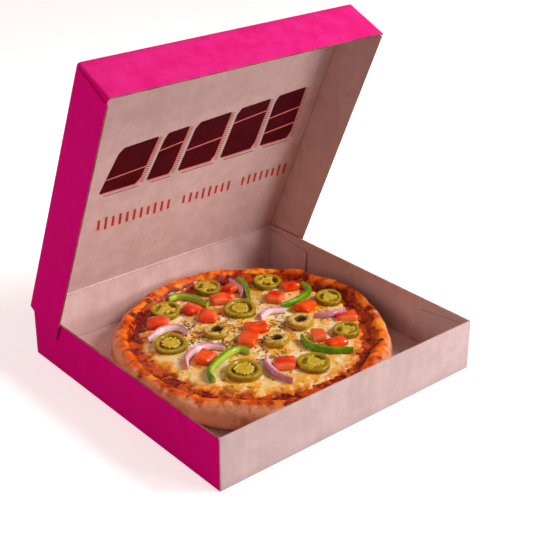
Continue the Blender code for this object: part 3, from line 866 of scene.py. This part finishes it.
# Slices from near the stem have one round hollow, those from lower down have separate chambers.
STEM_SLICES = (2, 4, 8)
SKIN, FLESH, CORE, SEED = range(4)

# Wet flesh: the mottled tone and fine grain of cut vegetables.
(where, mottle_scale), out = new_group("wet_flesh", {"Mottle Scale": 260.0}, ["Tone", "Height"])
mottle = where.speckle(mottle_scale, 4.0, 0.6, 0.4)
mottle.slope(0.34, 0.66).to(out["Tone"])
(mottle * 0.7 + where.speckle(mottle_scale * 4.0, 3.0, 0.6) * 0.3).to(out["Height"])


def flesh_finish(name, dark, light, rough, coat, scale=260.0, depth=0.3 * MM, tint=None):
    """Cut vegetable: two mottled tones, and a third where the piece's stored number is 1: paler flesh on the
    green peppers and onions, painted shade in the hollows of chillies and olives, and paler flesh with a painted
    highlight on the red peppers.
    """
    made, shader, where = new_finish(name, rough, coat, 0.05)
    wet = where.through("wet_flesh", Mottle_Scale=scale)
    coloured = wet["Tone"].mix(dark, light)
    if tint:
        coloured = where.stored("tint").mix(coloured, tint)
    coloured.to(shader["Base Color"])
    wet["Height"].to_relief(shader, depth)
    return made


def laid(mesh, name, slot_name, sink, lean_x, lean_y, turn_deg=0.0):
    """Lays a slice where its solid is, sunk into the cheese, turned and tipped a few degrees, and mounts it."""
    low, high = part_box(name)
    tip = math.radians(draw.uniform(2.0, 5.0))
    axis = Vector((draw.uniform(*lean_x), draw.uniform(*lean_y), 0)).normalized()
    middle = Vector(((low.x + high.x) / 2, (low.y + high.y) / 2, low.z - sink))
    mesh.transform(Matrix.Translation(middle) @ Matrix.Rotation(tip, 4, axis)
                   @ Matrix.Rotation(math.radians(turn_deg), 4, "Z"))
    mount(mesh, "tray", slot_name, name)


CHILLI_FINISHES = [
    flesh_finish("chilli_skin", (122, 98, 6), (154, 126, 14), 0.26, 0.4, 180.0, 0.1 * MM),
    # The chilli flesh's third colour is painted shade, laid down in the hollow chambers.
    flesh_finish("chilli_flesh", (154, 128, 14), (182, 156, 34), 0.26, 0.35, 300.0, 0.3 * MM, (110, 88, 8)),
    flesh_finish("chilli_core", (186, 158, 26), (218, 190, 60), 0.3, 0.35, 300.0, 0.5 * MM),
    flesh_finish("chilli_seed", (230, 198, 56), (250, 226, 110), 0.26, 0.4, 500.0, 0.2 * MM)]

for number, turn_deg in enumerate(SLICE_TURNS_DEG, 1):
    name = f"jalapeno_{number}"
    low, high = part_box(name)
    radius, thick = (high.x - low.x + high.y - low.y) / 4 / 1.02, high.z - low.z
    draw = random.Random(number)
    one_hollow = number in STEM_SLICES
    half_open = [62 if one_hollow else draw.uniform(26, 38) for _ in range(CHAMBERS)]
    deep = [draw.uniform(1.4, 3.0) * MM for _ in range(CHAMBERS)]
    core_reach = draw.uniform(0.46, 0.51) - (0.0 if one_hollow else 0.13)

    def chamber_at(angle):
        """How far an angle is from the middle of its chamber, in degrees, and which chamber that is."""
        turns = angle * CHAMBERS / TAU
        return math.degrees(abs((turns + 0.5) % 1 - 0.5) * TAU / CHAMBERS), round(turns) % CHAMBERS

    def slice_point(row, angle):
        share, upper = row
        swell = 1 + 0.03 * math.cos(CHAMBERS * angle) + 0.015 * math.sin(2 * angle + number)
        z = thick if upper else 0.3 * MM
        edge = max(0.0, share - 0.92) / 0.08
        z += (-1 if upper else 1) * 0.8 * MM * edge**2
        if upper:
            aside, which = chamber_at(angle)
            lobes = core_reach * (1 + 0.06 * math.sin(5 * angle + number)
                                  + 0.05 * math.sin(9 * angle + 2 * number))
            hollow = sloped_by(share, lobes, lobes + 0.08) * (1 - sloped_by(share, 0.68, 0.77))
            hollow *= 1 - sloped_by(aside, half_open[which] - 6, half_open[which] + 8)
            z -= deep[which] * hollow * (0.72 + 0.28 * math.sin(angle + 2.1 * number))
            # A shallow dip all round between the flesh and the wall.
            z -= 0.5 * MM * sloped_by(share, 0.46, 0.62) * (1 - sloped_by(share, 0.70, 0.80))
            if share < lobes + 0.02:
                z += 0.35 * MM * bumpy(polar(share, angle), 0.16, number)
        return polar(radius * share * swell, angle, z)

    def slice_zone(centre, normal):
        reach = math.hypot(centre.x, centre.y) / radius
        if reach > 0.93 and normal.z < 0.6:
            return SKIN
        aside, which = chamber_at(math.atan2(centre.y, centre.x))
        on_core = reach < core_reach * 1.08 or not one_hollow and reach < 0.66 and aside > half_open[which] + 3
        return CORE if on_core and centre.z > thick - 1.6 * MM else FLESH

    rows = [(0.0, 1), *((i / SLICE_ROWS, 1) for i in range(1, SLICE_ROWS + 1)), (0.999, 0), (0.93, 0), (0.0, 0)]
    work = round_mesh(rows, SLICE_STEPS, slice_point)
    mesh = finished_mesh(work, f"jalapeno_slice_{number}", CHILLI_FINISHES, slice_zone, 50)
    seed_work = bmesh.new()
    seed_work.from_mesh(mesh)
    seeds = 15 if one_hollow else 5
    for i in range(seeds):
        angle = TAU * (i + draw.uniform(-0.3, 0.3)) / seeds
        reach = radius * (core_reach + draw.uniform(-0.05, 0.07))
        at = Matrix.Translation(polar(reach, angle, thick - draw.uniform(0.25, 0.7) * MM))
        wide = draw.uniform(0.65, 1.0)
        shape = Matrix.Diagonal((1.3 * MM * wide, 0.85 * MM * wide, 0.55 * MM, 1))
        shape = at @ Matrix.Rotation(angle + draw.uniform(-0.5, 0.5), 4, "Z") @ shape
        before = set(seed_work.faces)
        bmesh.ops.create_icosphere(seed_work, subdivisions=2, radius=1.0, matrix=shape)
        for face in set(seed_work.faces) - before:
            face.material_index, face.smooth = SEED, True
    seed_work.to_mesh(mesh)
    seed_work.free()
    # Painted shade: the flesh darkens with depth below the top, down in the hollow chambers.
    painted(mesh, "tint", [sloped_by(thick - vert.co.z, 0.9 * MM, 2.2 * MM)
                           * (math.hypot(vert.co.x, vert.co.y) < 0.8 * radius) for vert in mesh.vertices])
    laid(mesh, name, "pickled_chilli", SLICE_SINK, (0.2, 1), (-0.6, 0.9), turn_deg)


# Olive rings
# Stoned green olives cut across into thick soft rings: a shiny skin, a paler cut face and a hole
# darkened with painted shade. They lie pressed a little into the cheese.

OLIVE_STEPS, OLIVE_SINK = 72, 0.7 * MM
# Round the ring's cut, out over the top face, down the skin, back below and up the hole: how far out
# in radii and how high, where the hole's wall is at 0.44 and the faces that bear skin are 4 to 8.
OLIVE_HOLE = 0.44
OLIVE_CUT = [(OLIVE_HOLE, 0.45), (OLIVE_HOLE + 0.02, 0.85), (OLIVE_HOLE + 0.10, 0.97), (0.72, 1.0), (0.88, 0.95),
             (0.97, 0.78), (1.0, 0.5), (0.97, 0.22), (0.88, 0.05), (0.7, 0.0), (OLIVE_HOLE + 0.1, 0.03),
             (OLIVE_HOLE + 0.01, 0.15)]
SKIN_FACES = range(4, 9)
olive_skin = flesh_finish("olive_skin", (164, 124, 18), (194, 154, 36), 0.26, 0.35, 220.0, 0.1 * MM)
# The olive face's third colour is painted shade, laid round and down the hole.
olive_face = flesh_finish("olive_face", (206, 170, 78), (238, 210, 128), 0.3, 0.25, 300.0, 0.3 * MM, (62, 34, 14))
for number in (1, 2, 3):
    name = f"olive_{number}"
    low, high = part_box(name)
    radius, thick = (high.x - low.x) / 2, high.z - low.z
    draw = random.Random(40 + number)
    off_centre = Vector((0.05 * radius, 0.03 * radius, 0))
    work = bmesh.new()
    rings = []
    for angle in (TAU * k / OLIVE_STEPS for k in range(OLIVE_STEPS)):
        squeeze = 1 + 0.03 * math.sin(2 * angle + number) + 0.02 * math.sin(3 * angle + 2 * number)
        rings.append([])
        for reach, up in OLIVE_CUT:
            point = polar(reach * radius * squeeze, angle, up * thick)
            if reach < 0.6:
                point += off_centre
            point.z += 0.12 * MM * bumpy(point, 3 * MM, 20 + number)
            rings[-1].append(work.verts.new(point))
    for this, other in zip(rings, rings[1:] + rings[:1]):
        for i, face in enumerate(band(work, this, other)):
            face.material_index = 0 if i in SKIN_FACES else 1
    bmesh.ops.recalc_face_normals(work, faces=work.faces)
    bmesh.ops.subdivide_edges(work, edges=work.edges[:], cuts=1, use_grid_fill=True, smooth=0.6)
    mesh = finished_mesh(work, f"olive_ring_{number}", [olive_skin, olive_face], smooth_deg=60)
    hole = OLIVE_HOLE * radius
    # Painted shade: the cut face darkens towards the hole and down its wall.
    painted(mesh, "tint", [0.85 * sloped_by((vert.co - off_centre).xy.length, 1.16 * hole, hole)
                           for vert in mesh.vertices])
    laid(mesh, name, "green_olive", OLIVE_SINK, (-1, 1), (-1, 1))


# Red pepper pieces
# Sweet red pepper cut in rough squares: a taut glossy skin on one broad face, softer orange-red flesh
# on the cut sides, edges a little shrunk by the oven.

PEPPER_SINK, PEPPER_RISE = 0.55 * MM, 0.35 * MM
# The noise that bends the cut edges takes its seed from the clock unless one is given.
noise.seed_set(5)
# The pepper's third colour stands partly for paler cut flesh and partly for a painted highlight.
pepper_red = flesh_finish("pepper_red", (222, 34, 0), (250, 92, 18), 0.2, 0.4, 75.0, 0.2 * MM, (250, 134, 84))
for number in range(1, 16):
    name = f"red_pepper_{number}"
    low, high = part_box(name)
    middle = (low + high) / 2
    draw = random.Random(60 + number)
    work = bmesh.new()
    work.from_mesh(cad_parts[name].data)
    bmesh.ops.remove_doubles(work, verts=work.verts, dist=1e-6)
    bmesh.ops.dissolve_limit(work, angle_limit=math.radians(2), verts=work.verts, edges=work.edges)
    bmesh.ops.subdivide_edges(work, edges=work.edges[:], cuts=3, use_grid_fill=True)
    bmesh.ops.triangulate(work, faces=[face for face in work.faces if len(face.verts) > 4])
    # The knife left the top as two flat slopes that meet in a ridge, seldom level.
    ridge, slope, other_slope = draw.uniform(0, TAU), draw.uniform(0.10, 0.24), draw.uniform(0.0, 0.34)
    for vert in work.verts:
        offset = vert.co - middle
        if offset.z > 0:
            over = offset.dot(polar(1, ridge)) - draw.uniform(0, 0.02) * MM
            fall = slope * over if over > 0 else -other_slope * over
            vert.co.z += (PEPPER_RISE - fall) * offset.z / (high.z - middle.z)
        shrunken, rough = (noise.noise_vector(vert.co / swell) for swell in (8 * MM, 1.8 * MM))
        vert.co += 0.5 * MM * shrunken + 0.08 * MM * rough
        vert.co.z -= PEPPER_SINK
    mesh = finished_mesh(work, f"red_pepper_piece_{number}", [pepper_red], smooth_deg=55)
    # One side of each piece turns pale orange: partly paler cut flesh, partly a painted highlight.
    pale_side = polar(1, draw.uniform(0, TAU))
    painted(mesh, "tint", [0.9 * sloped_by(vert.normal.dot(pale_side), 0.15, 0.6)
                           * (0.55 + 0.6 * abs(bumpy(vert.co, 4 * MM, number))) for vert in mesh.vertices])
    mount(mesh, "tray", "red_pepper", name)


# Green pepper strips
# Long curved strips of green pepper: a bright glossy skin outside the bend, thick paler flesh inside
# it, cut square at the ends.

GREEN_PATHS = [[(-15, 89), (-6, 88), (1, 78), (4, 60)], [(53, 81), (50, 68), (37, 46)],
               [(89, 38), (85, 25), (66, 19), (50, 20)], [(29, -30), (25, -43), (31, -58), (46, -70)],
               [(-64, -36), (-58, -24), (-36, -14), (-22, -13), (-17, -21)]]
GREEN_CUT = [(2.5, 1.2), (2.6, 2.9), (2.45, 4.5), (1.9, 5.5), (1.0, 5.9), (0.2, 5.6), (-0.7, 5.35),
             (-1.6, 4.9), (-2.2, 3.8), (-2.3, 1.9), (-1.9, 0.5), (-0.6, 0.0), (1.1, 0.0), (2.1, 0.4)]
STRIP_BASE = 21.0 * MM


def swept(name, path_points, cut, count, finish, taper, tint_rule):
    """A strip along a smooth path: its cut is drawn as (across, up) in millimetres, and thins to its ends."""
    path = smooth_path([Vector((*point, 0)) * MM for point in path_points], count)
    turning = sum((path[i + 1] - path[i]).cross(path[i + 2] - path[i + 1]).z for i in range(count - 2))
    outward = -1 if turning > 0 else 1
    work = bmesh.new()
    rows = []
    for i, place in enumerate(path):
        ahead = (path[min(i + 1, count - 1)] - path[max(i - 1, 0)]).normalized()
        across = Vector((-ahead.y, ahead.x, 0)) * outward
        size = taper(i / (count - 1))
        rows.append([])
        for a, up in cut:
            point = place + across * a * size * MM + Vector((0, 0, STRIP_BASE + up * (0.75 + 0.25 * size) * MM))
            rows[-1].append(work.verts.new(point + 0.16 * MM * noise.noise_vector(point / (5 * MM))))
    for this, following in zip(rows, rows[1:]):
        band(work, this, following)
    for row in (rows[0], rows[-1]):
        middle = work.verts.new(sum((vert.co for vert in row), Vector()) / len(row))
        for this, following in zip(row, row[1:] + row[:1]):
            work.faces.new((this, following, middle))
    tints = [tint_rule(a) for a, _ in cut] * count + [0.7, 0.7]
    return painted(outward_mesh(work, name, finish, 60), "tint", tints)


pepper_green = flesh_finish("pepper_green", (76, 130, 4), (112, 166, 14), 0.22, 0.35, 140.0, 0.2 * MM,
                            (174, 200, 66))
for number, path in enumerate(GREEN_PATHS, 1):
    mesh = swept(f"green_pepper_strip_{number}", path, GREEN_CUT, 64, pepper_green,
                 lambda t: 0.45 + 0.55 * math.sin(math.pi * min(1, 0.10 + 0.86 * t)) ** 0.6,
                 lambda a: sloped_by(-a, -0.3, 1.6))
    mount(mesh, "tray", "green_pepper", f"green_pepper_{number}")


# Red onion slivers
# Curved slivers of red onion, two layers thick: a lilac skin side and paler flesh, softened by the
# oven and sunk a little into the cheese.

ONION_PATHS = [[(-67, 44), (-50, 50), (-38, 45), (-36, 33)],
               [(46.8, 84.8), (44.8, 74.8), (42.8, 64.8), (36.8, 55.8)],
               [(24, 15), (36, 19), (48, 12)], [(60, -9), (72, -17), (86, -18)],
               [(-68, -9), (-60, 2), (-46, 8), (-36, 5), (-29, -4)],
               [(-11, -34), (-19, -45), (-22, -60), (-19, -74)]]
ONION_CUT = [(1.85, 0.8), (1.95, 2.3), (1.85, 3.9), (1.5, 5.1), (0.9, 5.6), (0.45, 5.3), (0.2, 4.9),
             (-0.2, 5.0), (-0.7, 4.7), (-0.95, 4.2), (-1.4, 3.9), (-1.8, 2.9), (-1.9, 1.6), (-1.6, 0.5),
             (-0.6, 0.0), (0.9, 0.0)]
ONION_BREADTHS = [1.15, 1.15, 1.45, 1.45, 1.15, 1.45]
onion_flesh = flesh_finish("red_onion", (200, 122, 154), (218, 150, 178), 0.3, 0.3, 200.0, 0.1 * MM,
                           (238, 206, 212))
for number, (path, broad) in enumerate(zip(ONION_PATHS, ONION_BREADTHS), 1):
    mesh = swept(f"red_onion_sliver_{number}", path, [(a * broad, up) for a, up in ONION_CUT], 56, onion_flesh,
                 lambda t: 0.25 + 0.75 * math.sin(math.pi * (0.04 + 0.92 * t)) ** 0.7,
                 lambda a: sloped_by(-a, -0.6, 1.0))
    mount(mesh, "tray", "red_onion", f"onion_{number}")


# Dried herbs
# Crumbled oregano strewn over the cheese before baking, thick in a few patches and thin elsewhere:
# small curled flakes, dark olive to brown.

# Each patch: its middle and spread in millimetres, and how thickly the herbs lie there.
HERB_PATCHES = [(-31, 42, 9, 1.0), (-4, 25, 10, 1.0), (-24, 3, 9, 0.9), (-33, 20, 8, 0.9), (32, -2, 10, 1.0),
                (-4, -34, 9, 0.9), (3, -46, 8, 0.7), (-11, 0, 8, 0.8), (16, -5, 8, 0.6), (4, 47, 8, 0.5),
                (1, -16, 7, 0.8), (77, -5, 7, 0.3), (-46, 45, 6, 0.3)]
herb_tree, given, out = new_tree("strewn_flakes", {
    "Density": "Float", "Flake Length": "Float", "Flake Width": "Float", "Flake Thickness": "Float",
    "Seed": "Int", "Flake Finish": "Material"})
thick_here = node(herb_tree, "GeometryNodeInputNamedAttribute", {"Name": "herbs"}, data_type="FLOAT").outputs[0]
wanted = Field(herb_tree, thick_here) * given["Density"]
spots = node(herb_tree, "GeometryNodeDistributePointsOnFaces",
             {"Mesh": given["Geometry"], "Density": wanted, "Seed": given["Seed"]}, distribute_method="RANDOM")
flake = node(herb_tree, "GeometryNodeMeshIcoSphere", {"Radius": 0.5, "Subdivisions": 1})
size = node(herb_tree, "ShaderNodeCombineXYZ",
            {"X": given["Flake Length"], "Y": given["Flake Width"], "Z": given["Flake Thickness"]})
shaped = node(herb_tree, "GeometryNodeTransform", {"Geometry": flake.outputs["Mesh"], "Scale": size.outputs[0]})
spin = node(herb_tree, "FunctionNodeRandomValue",
            {0: (-0.5, -0.5, 0.0), 1: (0.5, 0.5, 6.28), "Seed": given["Seed"]}, data_type="FLOAT_VECTOR")
grow_by = node(herb_tree, "FunctionNodeRandomValue", {2: 0.5, 3: 1.35, "Seed": given["Seed"]}, data_type="FLOAT")
end_tree(herb_tree, out, given["Flake Finish"], spots.outputs["Points"], shaped.outputs[0], spin,
         grow_by.outputs[1])


def herb_density(point):
    """How thickly the herbs lie, from 0 to 1. They slid off the raised rings on the right."""
    x, y = point.x / MM, point.y / MM
    patch = max(amount * math.exp(-(((x - cx) ** 2 + (y - cy) ** 2) / spread**2))
                for cx, cy, spread, amount in HERB_PATCHES)
    crumbled = patch * (0.35 + 0.65 * max(0.0, 0.4 + bumpy(point, 5 * MM, 31)))
    density = crumbled + 0.035 * sloped_by(share_of(point), 0.74, 0.66)
    return density * (0.35 if point.z > 23.5 * MM and point.x > 15 * MM else 1.0)


ground = bmesh.new()
for name in ("cheese_sheet", "olive_ring_1", "olive_ring_2", "olive_ring_3", "jalapeno_slice_4"):
    ground.from_mesh(bpy.data.objects[name].data)
bmesh.ops.delete(ground, geom=[face for face in ground.faces if face.normal.z < 0.45], context="FACES")
strewn_on = bpy.data.meshes.new("herb_ground")
ground.to_mesh(strewn_on)
ground.free()
painted(strewn_on, "herbs", [herb_density(vert.co) for vert in strewn_on.vertices])
herb_finish = flesh_finish("dried_herb", (112, 84, 24), (178, 146, 60), 0.85, 0.0, 400.0, 0.1 * MM)
mount(grown("herb_flakes", strewn_on, herb_tree, {
    "Density": 520000.0, "Flake Length": 3.4 * MM, "Flake Width": 1.7 * MM, "Flake Thickness": 0.5 * MM,
    "Seed": 4, "Flake Finish": herb_finish}), "tray", "melted_cheese")


# Floor, light and camera
# A plain pale floor, a soft key lamp from the right front, a lower one from the front and a weak one
# from the left, and the camera at the photograph's angle, on the left front corner of the box.

FLOOR_REACH, FLOOR_DROP = 7, 0.1 * MM
CAMERA_AZIMUTH, CAMERA_ELEVATION, CAMERA_DISTANCE = math.radians(-40.0859), math.radians(23.4448), 1.0383
CAMERA_AIM = Vector((0.09494, 0.09230, 0.07519))

floor_mesh = bpy.data.meshes.new("studio_floor")
floor_corners = [(sx * FLOOR_REACH, sy * FLOOR_REACH, -FLOOR_DROP)
                 for sx, sy in ((-1, -1), (1, -1), (1, 1), (-1, 1))]
floor_mesh.from_pydata(floor_corners, [], [(0, 1, 2, 3)])
floor_finish, shader, where = new_finish("studio_floor", 0.9, shine=0.0)
seen = where.made("ShaderNodeLightPath", output="Is Camera Ray")
pale = where.speckle(3.0).mix((246, 246, 246), (250, 250, 250))
seen.mix((188, 184, 184), pale).to(shader["Base Color"])
shader["Emission Color"].default_value = (1.0, 1.0, 1.0, 1.0)
(seen * 0.55).to(shader["Emission Strength"])
floor_mesh.materials.append(floor_finish)
shown(floor_mesh)


def lamp(name, place, aim_height, size, power, colour):
    """A square soft lamp that shines from a place at the box's middle, at a height."""
    light = bpy.data.lights.new(name, "AREA")
    light.shape, light.size, light.energy, light.color = "SQUARE", size, power, colour
    made = shown(light)
    made.location = place
    made.rotation_euler = (Vector((0, 0, aim_height)) - Vector(place)).to_track_quat("-Z", "Y").to_euler()


lamp("key_lamp", (1.0, -0.85, 1.12), 0.03, 0.5, 22.0, (1.0, 0.97, 0.94))
lamp("front_lamp", (0.72, -1.36, 0.48), 0.08, 0.6, 11.0, (1.0, 0.98, 0.98))
lamp("side_lamp", (-1.5, 0.6, 0.7), 0.08, 1.0, 7.0, (1.0, 0.96, 0.98))
sky = bpy.data.worlds.new("studio")
sky.use_nodes = True
sky.node_tree.nodes["Background"].inputs["Color"].default_value = (1.0, 0.68, 0.62, 1.0)
sky.node_tree.nodes["Background"].inputs["Strength"].default_value = 0.26
bpy.context.scene.world = sky
bpy.context.scene.view_settings.view_transform = "Standard"

back = Vector((math.sin(CAMERA_AZIMUTH), -math.cos(CAMERA_AZIMUTH), 0)) * math.cos(CAMERA_ELEVATION)
back.z = math.sin(CAMERA_ELEVATION)
lens = bpy.data.cameras.new("camera")
lens.sensor_width, lens.lens, lens.shift_y = 36.0, 80.04, -0.1098
camera = shown(lens)
camera.location = CAMERA_AIM + back * CAMERA_DISTANCE
camera.rotation_euler = (-back).to_track_quat("-Z", "Y").to_euler()
bpy.context.scene.camera = camera
